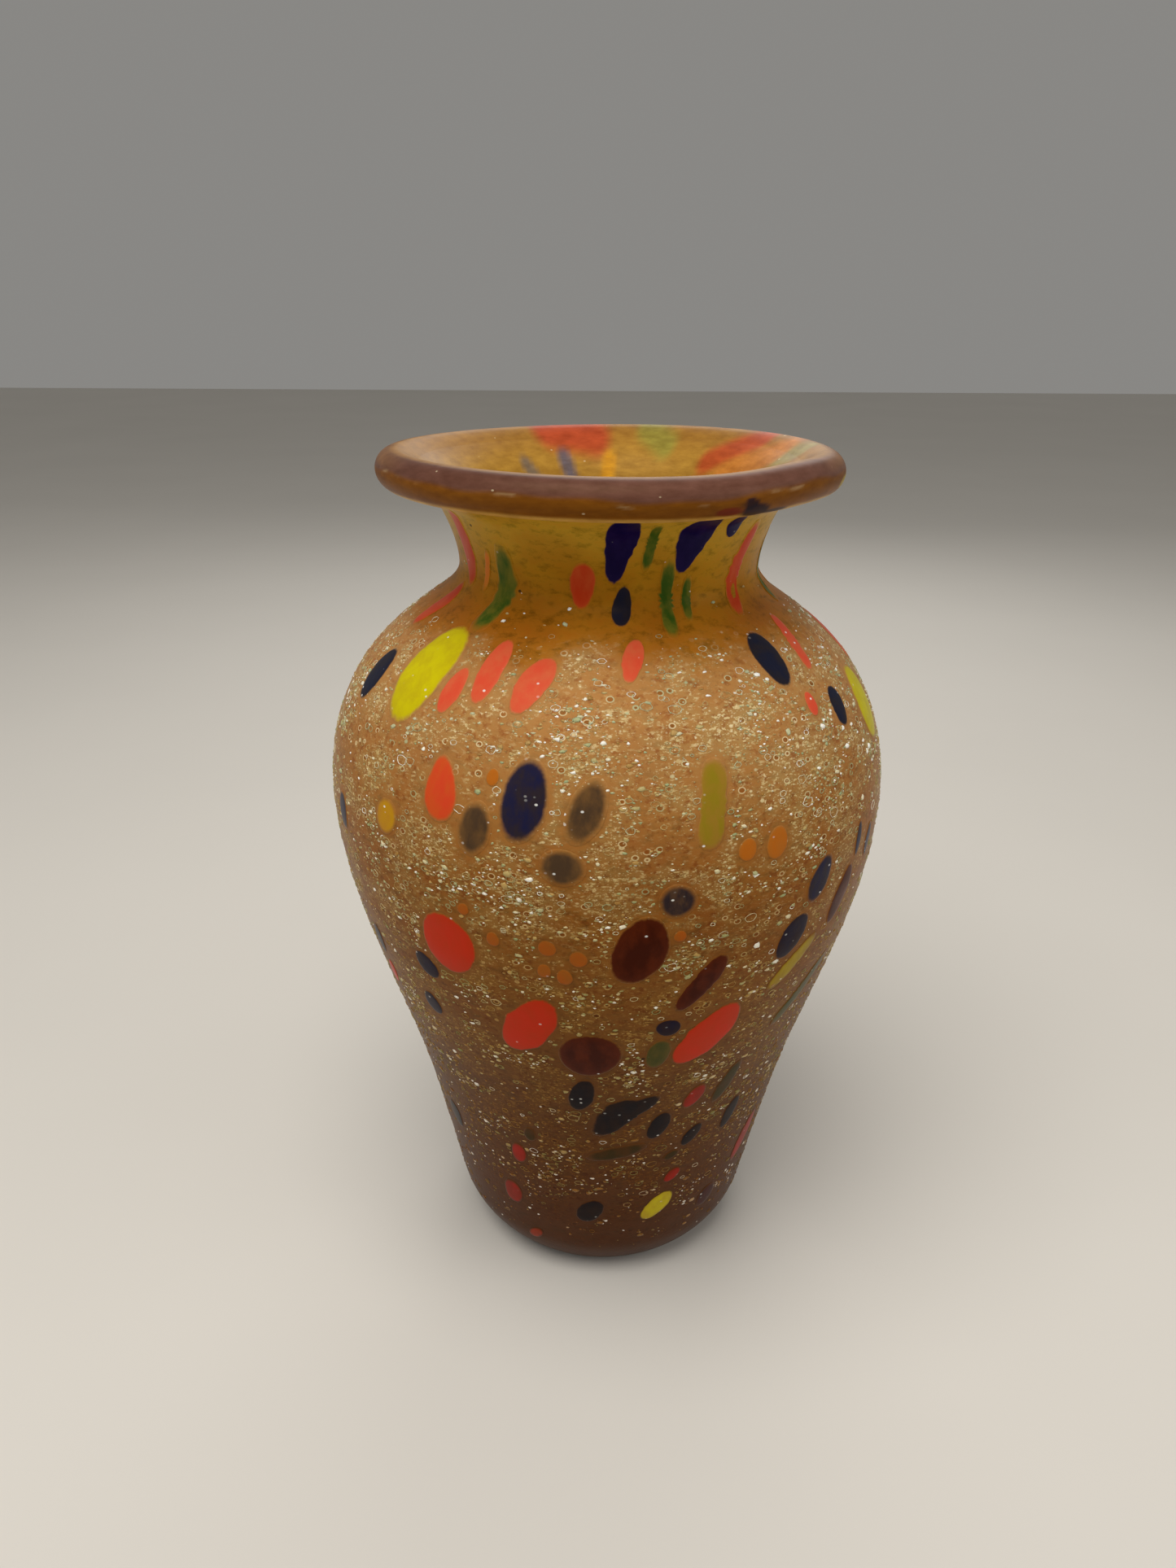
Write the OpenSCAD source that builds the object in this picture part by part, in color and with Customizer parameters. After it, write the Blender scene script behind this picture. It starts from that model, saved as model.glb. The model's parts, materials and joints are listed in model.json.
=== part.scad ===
// Hand blown art glass vase. Millimetres, +Z up, origin at the centre of the resting face.
// Front of the vase is -Y. Azimuth 0 is the front and grows towards +X.

/* [Overall] */
// Height from the resting face to the top of the lip
vase_h = 205; // [170:1:250]

/* [Foot] */
// Diameter of the flat face that the vase rests on
foot_d = 60; // [48:1:72]
// Diameter above the rounded heel
heel_d = 78.5; // [65:0.5:95]
// Height of the rounded heel
heel_h = 14; // [10:0.5:20]
// Diameter of the ground pontil hollow under the foot
pontil_d = 26; // [16:1:34]
// Depth of the ground pontil hollow
pontil_depth = 1; // [0.4:0.1:2]

/* [Body] */
// Diameter half way up the taper
taper_d = 99; // [82:1:118]
// Height at which the taper diameter is measured
taper_z = 60; // [48:1:72]
// Largest diameter
belly_d = 131; // [109:1:158]
// Height of the largest diameter
belly_z = 128; // [106:1:136]
// Distance from the top of the lip down to the shoulder
shoulder_drop = 49; // [44:1:52]
// Diameter at the shoulder
shoulder_d = 116; // [98:1:132]

/* [Neck and lip] */
// Distance from the top of the lip down to the collar, where the shoulder turns into the neck
collar_drop = 32.5; // [31:0.5:36]
// Diameter at the collar
collar_d = 80; // [76:1:90]
// Distance from the top of the lip down to the throat, the narrowest place
throat_drop = 25; // [22:0.5:28]
// Diameter at the throat
throat_d = 68; // [57:1:74]
// Outer diameter of the lip
lip_d = 102.5; // [94:0.5:123]
// Thickness of the rolled lip
lip_t = 8.2; // [6.6:0.1:9.8]

/* [Glass] */
// Thickness of the amber inner gather
gather_t = 3.2; // [2.4:0.1:4.5]
// Thickness of the outer layer of crushed glass and chips
frit_t = 1.4; // [1:0.1:2]
// Thickness of solid glass under the hollow
floor_t = 10; // [8:0.5:14]
// Height over which the floor of the hollow rounds up into the wall
floor_round = 14; // [10:1:18]
// Size of the chips against the size that they are listed at
chip_size = 1; // [0.8:0.05:1.1]

/* [Hidden] */

wall_t = gather_t + frit_t;
lip_r = lip_t / 2;
lip_mid = lip_d / 2 - lip_r;
throat_z = vase_h - throat_drop;
// Where the wall ends inside the lip bead, as shares of the bead's thickness and radius
join_drop = 0.95;
join_inset = 0.7;
join_z = vase_h - lip_t * join_drop;
join_r = lip_mid - lip_r * join_inset;
// How far below the lip the neck begins to flare, and how much wider than the throat it is there
flare_drop = 4.5;
flare_out = 3.8;
round_fn = 360;
curve_steps = 7;
pontil_steps = 4;
bowl_step = 10;
// Height between the bowl's edge and the first point of the wall above it
bowl_gap = 0.5;
// Height to each side over which the slope of the outline is measured
slope_reach = 0.05;
// Angles round the lip bead: where it leaves the outer wall, meets the inner gather, and where
// the gather's rounded tip ends
bead_from = -105;
bead_seam = 75;
tip_end = 120;
bead_step = 15;
flare_steps = 10;
// How far a chip's cutting prism reaches to each side of the outer surface
prism_reach = 14;
chip_sides = 12;

// Outline stations from the foot up: [height, radius, slope of radius against height]
STATIONS = [
    [0, foot_d / 2, 1.1],
    [heel_h, heel_d / 2, 0.24],
    [taper_z, taper_d / 2, 0.27],
    [belly_z, belly_d / 2, 0],
    [vase_h - shoulder_drop, shoulder_d / 2, -0.62],
    [vase_h - collar_drop, collar_d / 2, -1.5],
    [throat_z, throat_d / 2, 0.02],
    [join_z - flare_drop, throat_d / 2 + flare_out, 0.5],
    [join_z, join_r, 1.6]
];
last_leg = len(STATIONS) - 2;

function leg_at(z, i = 0) = (i == last_leg || z < STATIONS[i + 1][0]) ? i : leg_at(z, i + 1);

function curve(a, b, t) =
    let (span = b[0] - a[0])
    a[1] * (2 * t^3 - 3 * t^2 + 1)
    + a[2] * span * (t^3 - 2 * t^2 + t)
    + b[1] * (3 * t^2 - 2 * t^3)
    + b[2] * span * (t^3 - t^2);

// Outer radius of the glass at a height
function outer_r(z) =
    let (i = leg_at(z), a = STATIONS[i], b = STATIONS[i + 1])
    curve(a, b, (z - a[0]) / (b[0] - a[0]));

// Slope of the outer radius against height
function outer_slope(z) =
    let (low = max(z - slope_reach, 0), high = min(z + slope_reach, join_z))
    (outer_r(high) - outer_r(low)) / (high - low);

// Point [radius, height] that lies a depth below the outer surface
function below(z, depth) =
    let (s = outer_slope(z), n = sqrt(1 + s * s))
    [outer_r(z) - depth / n, z + depth * s / n];

HEIGHTS = [
    for (i = [0 : last_leg])
        for (k = [(i == 0 ? 0 : 1) : curve_steps])
            STATIONS[i][0] + (STATIONS[i + 1][0] - STATIONS[i][0]) * k / curve_steps
];

function wall_line(depth, from_z, to_z = vase_h) = [
    for (z = HEIGHTS) if (z >= from_z && z <= to_z) below(z, depth)
];
// Where the outer layer meets the inner gather, from the flat foot up
SEAM = concat([[foot_d / 2 - frit_t, 0]], wall_line(frit_t, 0));

function reversed(list) = [for (i = [len(list) - 1 : -1 : 0]) list[i]];

// Bead point of the rolled lip at an angle, 0 outwards and 90 at the top
function lip_point(angle) = [lip_mid + lip_r * cos(angle), vase_h - lip_r + lip_r * sin(angle)];

// The hollow: its bowl-shaped floor, then the inner wall line up to the lip
bowl_edge = below(floor_t + floor_round, wall_t);
BOWL = [
    for (a = [0 : bowl_step : 90 - bowl_step])
        [bowl_edge[0] * sin(a), floor_t + (bowl_edge[1] - floor_t) * (1 - cos(a))]
];

// Inside the mouth one smooth curve runs from the neck out to the lip's rounded tip. Its
// control point is where the neck's slope and the tip's slope cross.
flare_z = join_z - flare_drop;
flare_start = below(flare_z, wall_t);
flare_end = lip_point(tip_end);
start_slope = [outer_slope(flare_z), 1];
end_slope = [sin(tip_end), -cos(tip_end)];
start_reach = cross(flare_end - flare_start, end_slope) / cross(start_slope, end_slope);
flare_turn = flare_start + start_reach * start_slope;
FLARE = [
    for (k = [1 : flare_steps - 1])
        let (t = k / flare_steps)
        flare_start * (1 - t)^2 + flare_turn * 2 * t * (1 - t) + flare_end * t^2
];
HOLLOW = concat(
    BOWL,
    [bowl_edge],
    wall_line(wall_t, floor_t + floor_round + bowl_gap, flare_z + slope_reach),
    FLARE
);

// The ground hollow under the foot, as a shallow dish
PONTIL = [
    for (k = [0 : pontil_steps])
        let (share = k / pontil_steps)
        [pontil_d / 2 * share, pontil_depth * (1 - share * share)]
];

// Chips are listed as [azimuth, height as percent of the vase, width in degrees around,
// length in percent of the vase, lean to the right, taper, bend, sides]. Taper, bend and
// sides may be left out. A chip stretches with the glass, so it keeps no size of its own.

// Every chip on the back is placed by a rule: one row of slots round the back of the vase,
// shared between the colours. Each slot has its own turn, which makes its chip differ from
// its neighbours in height, width, length, lean and taper.
back_from = 80;
back_span = 200;
slot_turn = 137;
up_wander = 1.2;
w_wander = 0.2;
len_wander = 0.25;
lean_mean = 10;
lean_wander = 25;
taper_wander = 0.25;
function back_row(up, count, first, every, w, len) = [
    for (k = [first : every : count - 1])
        let (turn = k * slot_turn + up * 10)
        [
            back_from + back_span * (k + 0.5) / count,
            up + up_wander * sin(turn * 7),
            w * (1 + w_wander * sin(turn * 3)),
            len * (1 + len_wander * cos(turn * 5)),
            lean_mean + lean_wander * sin(turn),
            taper_wander * sin(turn * 11)
        ]
];

COBALT_NECK = [
    [2.4, 92.9, 10, 9.6, 8, 0.45],
    [25.6, 93.1, 12, 8, 12, 0.5],
    [40, 94.4, 7, 3.4, -5],
    [213, 94.5, 8, 3.6, 14],
    [195, 94.6, 8, 4.4, 12]
];
GREEN_NECK = [
    [12, 93, 4, 7, 6],
    [18.6, 86.8, 5.4, 9.8, 3],
    [26, 87, 4.2, 5.2, 5],
    [-41, 87.5, 10, 10.4, 8, 0, 1.2],
    [76, 89, 4, 12, 4],
    [162, 94.6, 8, 4, 0],
    [106, 94.4, 9, 4, 10]
];
RED_NECK = [
    [-9.8, 88.8, 9.6, 5, 3, 0.1],
    [-61, 91, 10, 9, 2],
    [-70, 84.2, 8, 8, 14],
    [52, 92, 6.4, 6.4, 20],
    [46.5, 86.4, 6, 6.2, 0],
    [187, 95.2, 6, 2, 0],
    [130, 94.6, 10, 4.4, 24]
];
AMBER_NECK = [
    [-49, 89, 3.4, 6, 16],
    [179, 94.4, 7, 3.4, 0],
    [240, 90, 6, 5, 10],
    [92, 87, 5, 5, 8]
];

YELLOW_SHOULDER = concat([
    [-48.4, 80, 15.4, 12.6, 2],
    [71, 74.6, 11, 9, 12]
], back_row(79, 12, 2, 6, 10, 8));
RED_SHOULDER = concat([
    [-37.2, 79.2, 5.4, 5.8, 6],
    [-29.8, 81.2, 7, 8, 3],
    [-18.3, 80.6, 8, 7.4, 18, 0.15],
    [5.2, 82.6, 5.5, 6, 14, 0.2],
    [57, 82, 4.5, 9, 18],
    [47, 77.4, 3.4, 2.8, 10]
], back_row(79, 12, 0, 3, 7, 7));
NAVY_SHOULDER = concat([
    [-66, 78, 8, 7, 5],
    [43, 81.6, 9.5, 7.6, 4],
    [56, 76.3, 5.5, 4.6, 8],
    [3.5, 86.6, 7, 4.2, 8, -0.2]
], back_row(79, 12, 1, 3, 7, 6));

RED_BELLY = concat([
    [-32.5, 71, 7.4, 7, -8, -0.25]
], back_row(70, 13, 0, 3, 7, 6));
NAVY_BELLY = concat([
    [-15.6, 71.3, 9.2, 8.8, 11],
    [-64, 63.4, 5, 4.4, -10],
    [42, 60.4, 5.8, 6, 24],
    [55, 62.4, 2.4, 4.4, 4],
    [61, 61, 3.2, 4.4, 6]
], back_row(70, 13, 1, 3, 8, 6));
SMOKY_BELLY = concat([
    [-24.6, 68, 7, 6.2, 8, 0.1, 0, 9],
    [-4.4, 70.8, 7, 7.4, 22],
    [-8.3, 65.4, 8.4, 4, 0]
], back_row(63, 11, 0, 3, 7, 4));
OLIVE_BELLY = concat([
    [18, 71, 7, 12.4, 8, 0, 0, 4]
], back_row(70, 13, 2, 6, 6, 7));
OCHRE_BELLY = concat([
    [-45.5, 66.4, 6.4, 4, 0]
], back_row(63, 11, 1, 6, 6, 4));
AMBER_BELLY = concat([
    [-22, 73, 2.6, 1.8],
    [30.5, 66.2, 4.6, 3.6, 12],
    [24.3, 66.2, 3.8, 2.4]
], back_row(63, 11, 2, 6, 4, 2.4));

RED_WAIST = concat([
    [-31.6, 54.2, 12.4, 8, -10],
    [-58.5, 43.6, 4, 3.6, 10],
    [-16.6, 44.9, 10.6, 11.2, 32, 0.1, 0, 7],
    [21.8, 43.2, 11, 11, 34, 0, 0, 7]
], back_row(53, 12, 0, 3, 8, 6));
NAVY_WAIST = concat([
    [-39, 49.8, 5.4, 4, -36],
    [-41.6, 43.6, 5, 3.6, -12],
    [-58.6, 48.3, 4.4, 4.4, 8],
    [37, 54.4, 6.8, 6, 28],
    [12.4, 45.4, 5.8, 2.6, 12]
], back_row(44, 10, 0, 3, 7, 5));
AUBERGINE_WAIST = concat([
    [5.4, 56.2, 10.2, 9, 18],
    [-3.8, 41.4, 14.4, 7],
    [17.8, 51.2, 5.6, 9.8, 32, 0.15, 0, 6],
    [51, 56.6, 5.4, 7.6, 20]
], back_row(53, 12, 1, 3, 9, 6));
SMOKY_WAIST = concat([
    [11.6, 61.8, 7, 4, 5]
], back_row(53, 12, 2, 6, 7, 5));
GREEN_WAIST = concat([
    [11, 41.4, 5.8, 4.8, 8],
    [48.5, 44, 4.4, 12, 42]
], back_row(44, 10, 1, 3, 5, 7));
YELLOW_WAIST = concat([
    [39.5, 50.2, 4.6, 8.4, 44]
], back_row(44, 10, 2, 6, 6, 6));
AMBER_WAIST = concat([
    [-8.2, 52.8, 3.2, 2.1],
    [-5.6, 55.2, 3.4, 2.1],
    [-12, 53.4, 2.8, 1.8],
    [-11.2, 56.3, 3.4, 2.1],
    [-21.4, 56.4, 2.8, 1.8],
    [-27, 59.2, 2.5, 1.4],
    [12.4, 57.8, 2.4, 1.4]
], back_row(53, 12, 5, 6, 4, 2.4));

NAVY_FOOT = concat([
    [-6, 34.6, 6.4, 6.2, 14],
    [1, 30.6, 8.4, 7, 22],
    [10, 33.4, 3, 5, 76],
    [14.5, 28.6, 6.2, 5, 14],
    [25.5, 25.4, 5, 4, 28],
    [38.7, 26.6, 5, 5.6, 14],
    [-4.6, 13.4, 8.6, 4.8, 30],
    [-56, 21.3, 7, 4.4, -8]
], back_row(32, 11, 0, 2, 7, 6));
RED_FOOT = concat([
    [23.2, 32.6, 5.4, 4.4, 20],
    [-26.8, 21.7, 5.6, 3.6, 8],
    [-32.4, 13.5, 8, 4.4, 8],
    [21.6, 18.8, 4.6, 2.8, 40],
    [53, 18.8, 7, 8.6, 20]
], back_row(21, 9, 0, 2, 8, 5));
GREEN_FOOT = concat([
    [32.5, 33.2, 5, 7.6, 18]
], back_row(32, 11, 1, 4, 5, 6));
OLIVE_FOOT = concat([
    [3.4, 24.4, 5.8, 7.6, 74],
    [-21.7, 25.9, 4, 2.6, 10],
    [20, 22.6, 3.6, 2.2, 60]
], back_row(32, 11, 3, 4, 6, 4));
YELLOW_FOOT = concat([
    [18, 13.6, 8, 5.8, 32]
], back_row(21, 9, 1, 6, 8, 5));
PURPLE_FOOT = concat([
    [38.5, 11.8, 8, 4, 24]
], back_row(12, 8, 0, 3, 9, 4));
ORANGE_FOOT = concat([
    [-26, 6.6, 5, 3, 40]
], back_row(12, 8, 1, 3, 7, 3));

ALL_CHIPS = concat(
    COBALT_NECK, GREEN_NECK, RED_NECK, AMBER_NECK,
    YELLOW_SHOULDER, RED_SHOULDER, NAVY_SHOULDER,
    RED_BELLY, NAVY_BELLY, SMOKY_BELLY, OLIVE_BELLY, OCHRE_BELLY, AMBER_BELLY,
    RED_WAIST, NAVY_WAIST, AUBERGINE_WAIST, SMOKY_WAIST, GREEN_WAIST, YELLOW_WAIST, AMBER_WAIST,
    NAVY_FOOT, RED_FOOT, GREEN_FOOT, OLIVE_FOOT, YELLOW_FOOT, PURPLE_FOOT, ORANGE_FOOT
);

function given(value, otherwise) = is_undef(value) ? otherwise : value;

// Outline of a chip laid flat, in millimetres: x round the vase, y up the wall
function chip_outline(w, len, taper, bend, sides) = [
    for (k = [0 : sides - 1])
        let (a = 360 * (k + 0.5) / sides, rise = sin(a))
        [w / 2 * cos(a) * (1 + taper * rise) + bend * (1 - 2 * rise * rise), len / 2 * rise]
];

// A prism that cuts one chip's shape out of the wall, square to the wall at its centre
module chip_cutter(c) {
    z = c[1] / 100 * vase_h;
    r = outer_r(z);
    w = c[2] * PI / 180 * r * chip_size;
    len = c[3] / 100 * vase_h * chip_size;
    rotate([0, 0, c[0]])
        translate([0, -r, z])
            rotate([90 + atan(outer_slope(z)), 0, 0])
                rotate([0, 0, -given(c[4], 0)])
                    translate([0, 0, -prism_reach])
                        linear_extrude(2 * prism_reach)
                            polygon(chip_outline(w, len, given(c[5], 0), given(c[6], 0),
                                given(c[7], chip_sides)));
}

// The whole outer layer before any chip is let into it
module outer_layer() {
    rotate_extrude($fn = round_fn)
        polygon(concat(wall_line(0, 0), reversed(SEAM)));
}

// Glass chips of one colour, let into the outer layer flush with its face
module chips(list) {
    intersection() {
        outer_layer();
        union() {
            for (c = list) chip_cutter(c);
        }
    }
}

module inner_gather() {
    tip = [for (a = [bead_seam : bead_step : tip_end]) lip_point(a)];
    color([0.72, 0.46, 0.18])
        rotate_extrude($fn = round_fn)
            polygon(concat(
                PONTIL,
                SEAM,
                tip,
                reversed(HOLLOW)
            ));
}

module frit_layer() {
    color([0.76, 0.62, 0.42])
        difference() {
            outer_layer();
            for (c = ALL_CHIPS) chip_cutter(c);
        }
}

module lip_bead() {
    color([0.42, 0.3, 0.24])
        rotate_extrude($fn = round_fn)
            polygon(concat(
                [below(join_z, frit_t)],
                [below(join_z, 0)],
                [for (a = [bead_from : bead_step : bead_seam]) lip_point(a)]
            ));
}

module cobalt_chips_neck() { color([0.05, 0.03, 0.25]) chips(COBALT_NECK); }
module green_chips_neck() { color([0.2, 0.33, 0.1]) chips(GREEN_NECK); }
module red_chips_neck() { color([0.78, 0.18, 0.08]) chips(RED_NECK); }
module amber_chips_neck() { color([0.85, 0.5, 0.12]) chips(AMBER_NECK); }
module yellow_chips_shoulder() { color([0.8, 0.72, 0.05]) chips(YELLOW_SHOULDER); }
module red_chips_shoulder() { color([0.85, 0.3, 0.2]) chips(RED_SHOULDER); }
module navy_chips_shoulder() { color([0.12, 0.12, 0.25]) chips(NAVY_SHOULDER); }
module red_chips_belly() { color([0.82, 0.27, 0.15]) chips(RED_BELLY); }
module navy_chips_belly() { color([0.13, 0.13, 0.27]) chips(NAVY_BELLY); }
module smoky_chips_belly() { color([0.35, 0.31, 0.24]) chips(SMOKY_BELLY); }
module olive_chips_belly() { color([0.52, 0.46, 0.13]) chips(OLIVE_BELLY); }
module ochre_chips_belly() { color([0.72, 0.52, 0.1]) chips(OCHRE_BELLY); }
module amber_chips_belly() { color([0.8, 0.42, 0.12]) chips(AMBER_BELLY); }
module red_chips_waist() { color([0.72, 0.17, 0.08]) chips(RED_WAIST); }
module navy_chips_waist() { color([0.1, 0.09, 0.2]) chips(NAVY_WAIST); }
module aubergine_chips_waist() { color([0.25, 0.07, 0.05]) chips(AUBERGINE_WAIST); }
module smoky_chips_waist() { color([0.3, 0.26, 0.22]) chips(SMOKY_WAIST); }
module green_chips_waist() { color([0.3, 0.3, 0.12]) chips(GREEN_WAIST); }
module yellow_chips_waist() { color([0.65, 0.55, 0.08]) chips(YELLOW_WAIST); }
module amber_chips_waist() { color([0.72, 0.36, 0.1]) chips(AMBER_WAIST); }
module navy_chips_foot() { color([0.08, 0.07, 0.13]) chips(NAVY_FOOT); }
module red_chips_foot() { color([0.6, 0.1, 0.07]) chips(RED_FOOT); }
module green_chips_foot() { color([0.22, 0.2, 0.07]) chips(GREEN_FOOT); }
module olive_chips_foot() { color([0.25, 0.19, 0.06]) chips(OLIVE_FOOT); }
module yellow_chips_foot() { color([0.7, 0.6, 0.1]) chips(YELLOW_FOOT); }
module purple_chips_foot() { color([0.2, 0.06, 0.1]) chips(PURPLE_FOOT); }
module orange_chips_foot() { color([0.6, 0.2, 0.06]) chips(ORANGE_FOOT); }

inner_gather();
frit_layer();
lip_bead();
cobalt_chips_neck();
green_chips_neck();
red_chips_neck();
amber_chips_neck();
yellow_chips_shoulder();
red_chips_shoulder();
navy_chips_shoulder();
red_chips_belly();
navy_chips_belly();
smoky_chips_belly();
olive_chips_belly();
ochre_chips_belly();
amber_chips_belly();
red_chips_waist();
navy_chips_waist();
aubergine_chips_waist();
smoky_chips_waist();
green_chips_waist();
yellow_chips_waist();
amber_chips_waist();
navy_chips_foot();
red_chips_foot();
green_chips_foot();
olive_chips_foot();
yellow_chips_foot();
purple_chips_foot();
orange_chips_foot();
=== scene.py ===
import json
import math
from collections import Counter

import bpy
import numpy as np
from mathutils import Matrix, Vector, noise


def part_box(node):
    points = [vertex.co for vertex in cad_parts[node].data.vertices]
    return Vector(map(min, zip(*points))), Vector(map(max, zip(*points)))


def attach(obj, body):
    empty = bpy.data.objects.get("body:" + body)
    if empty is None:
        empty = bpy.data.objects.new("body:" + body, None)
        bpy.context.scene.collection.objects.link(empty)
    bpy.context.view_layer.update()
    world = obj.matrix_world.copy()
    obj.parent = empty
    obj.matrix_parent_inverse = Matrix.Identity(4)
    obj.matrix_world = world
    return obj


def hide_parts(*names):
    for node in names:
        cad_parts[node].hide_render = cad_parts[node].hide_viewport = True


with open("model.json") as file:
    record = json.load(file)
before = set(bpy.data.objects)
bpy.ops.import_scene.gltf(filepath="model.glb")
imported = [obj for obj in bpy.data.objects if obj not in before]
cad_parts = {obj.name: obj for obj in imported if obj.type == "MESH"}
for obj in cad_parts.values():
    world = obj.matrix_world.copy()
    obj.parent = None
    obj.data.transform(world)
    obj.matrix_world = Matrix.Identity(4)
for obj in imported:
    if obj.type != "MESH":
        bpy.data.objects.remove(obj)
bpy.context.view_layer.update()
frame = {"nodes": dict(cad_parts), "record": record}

MM = 0.001
SEED = 41
rng = np.random.default_rng(SEED)

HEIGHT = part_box("lip_bead")[1][2]
CHIP_NODES = sorted(name for name in frame["nodes"] if "_chips_" in name)


# ---------------------------------------------------------------- camera, light, floor

LENS = 26.1
EYE = (-0.0242, -1.263, 1.147)  # the camera's place, in vase heights
LOOK_DOWN = math.radians(23.2)
ROLL = -0.0052
# Each light: [name, place, size, power, colour]
LIGHTS = [
    ("soft_top", (-0.15, -0.3, 0.9), 0.7, 6.2, (1.0, 0.97, 0.92)),
    ("soft_left", (-0.8, -0.45, 0.4), 0.6, 0.9, (0.96, 0.98, 1.0)),
    ("soft_right", (0.8, -0.3, 0.45), 0.6, 1.7, (1.0, 0.98, 0.95)),
    ("soft_back", (0.1, 0.7, 0.6), 0.6, 1.6, (1.0, 0.98, 0.95)),
]
AIM = (0, 0, 0.6 * HEIGHT)
STUDIO_COLOUR = (0.86, 0.84, 0.80, 1)
STUDIO_GLOW = 0.29


def add_camera():
    """The photograph's view: a wide lens a little above the lip, tilted down, rolled a touch."""
    data = bpy.data.cameras.new("camera")
    data.lens = LENS
    data.clip_start = 0.01
    camera = bpy.data.objects.new("camera", data)
    camera.location = [HEIGHT * part for part in EYE]
    camera.rotation_euler = (math.pi / 2 - LOOK_DOWN, ROLL, 0)
    bpy.context.collection.objects.link(camera)
    bpy.context.scene.camera = camera


def add_area(name, place, size, power, colour):
    """A round soft light that faces the middle of the vase."""
    data = bpy.data.lights.new(name, "AREA")
    data.shape = "DISK"
    data.size = size
    data.energy = power
    data.color = colour
    lamp = bpy.data.objects.new(name, data)
    lamp.location = place
    direction = Vector(AIM) - Vector(place)
    lamp.rotation_euler = direction.to_track_quat("-Z", "Y").to_euler()
    bpy.context.collection.objects.link(lamp)


def add_lights():
    for light in LIGHTS:
        add_area(*light)
    world = bpy.data.worlds.new("studio")
    world.use_nodes = True
    background = world.node_tree.nodes["Background"]
    background.inputs["Color"].default_value = STUDIO_COLOUR
    background.inputs["Strength"].default_value = STUDIO_GLOW
    bpy.context.scene.world = world
    bpy.context.scene.view_settings.view_transform = "Standard"


# ---------------------------------------------------------------- material building

def srgb(r, g, b):
    """A colour given as 0 to 255 display values, as linear values with alpha."""
    linear = []
    for value in (r, g, b):
        share = value / 255
        linear.append(share / 12.92 if share <= 0.04045 else ((share + 0.055) / 1.055) ** 2.4)
    return (*linear, 1.0)


GLASS_IOR = 1.5
GLOSS_TINT = srgb(255, 214, 160)
UNDER_SKIN = (0.004, 0.002, 0.001)  # how far red, green and blue light wander under the surface
BUMP_DEPTH = 0.12 * MM


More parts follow.
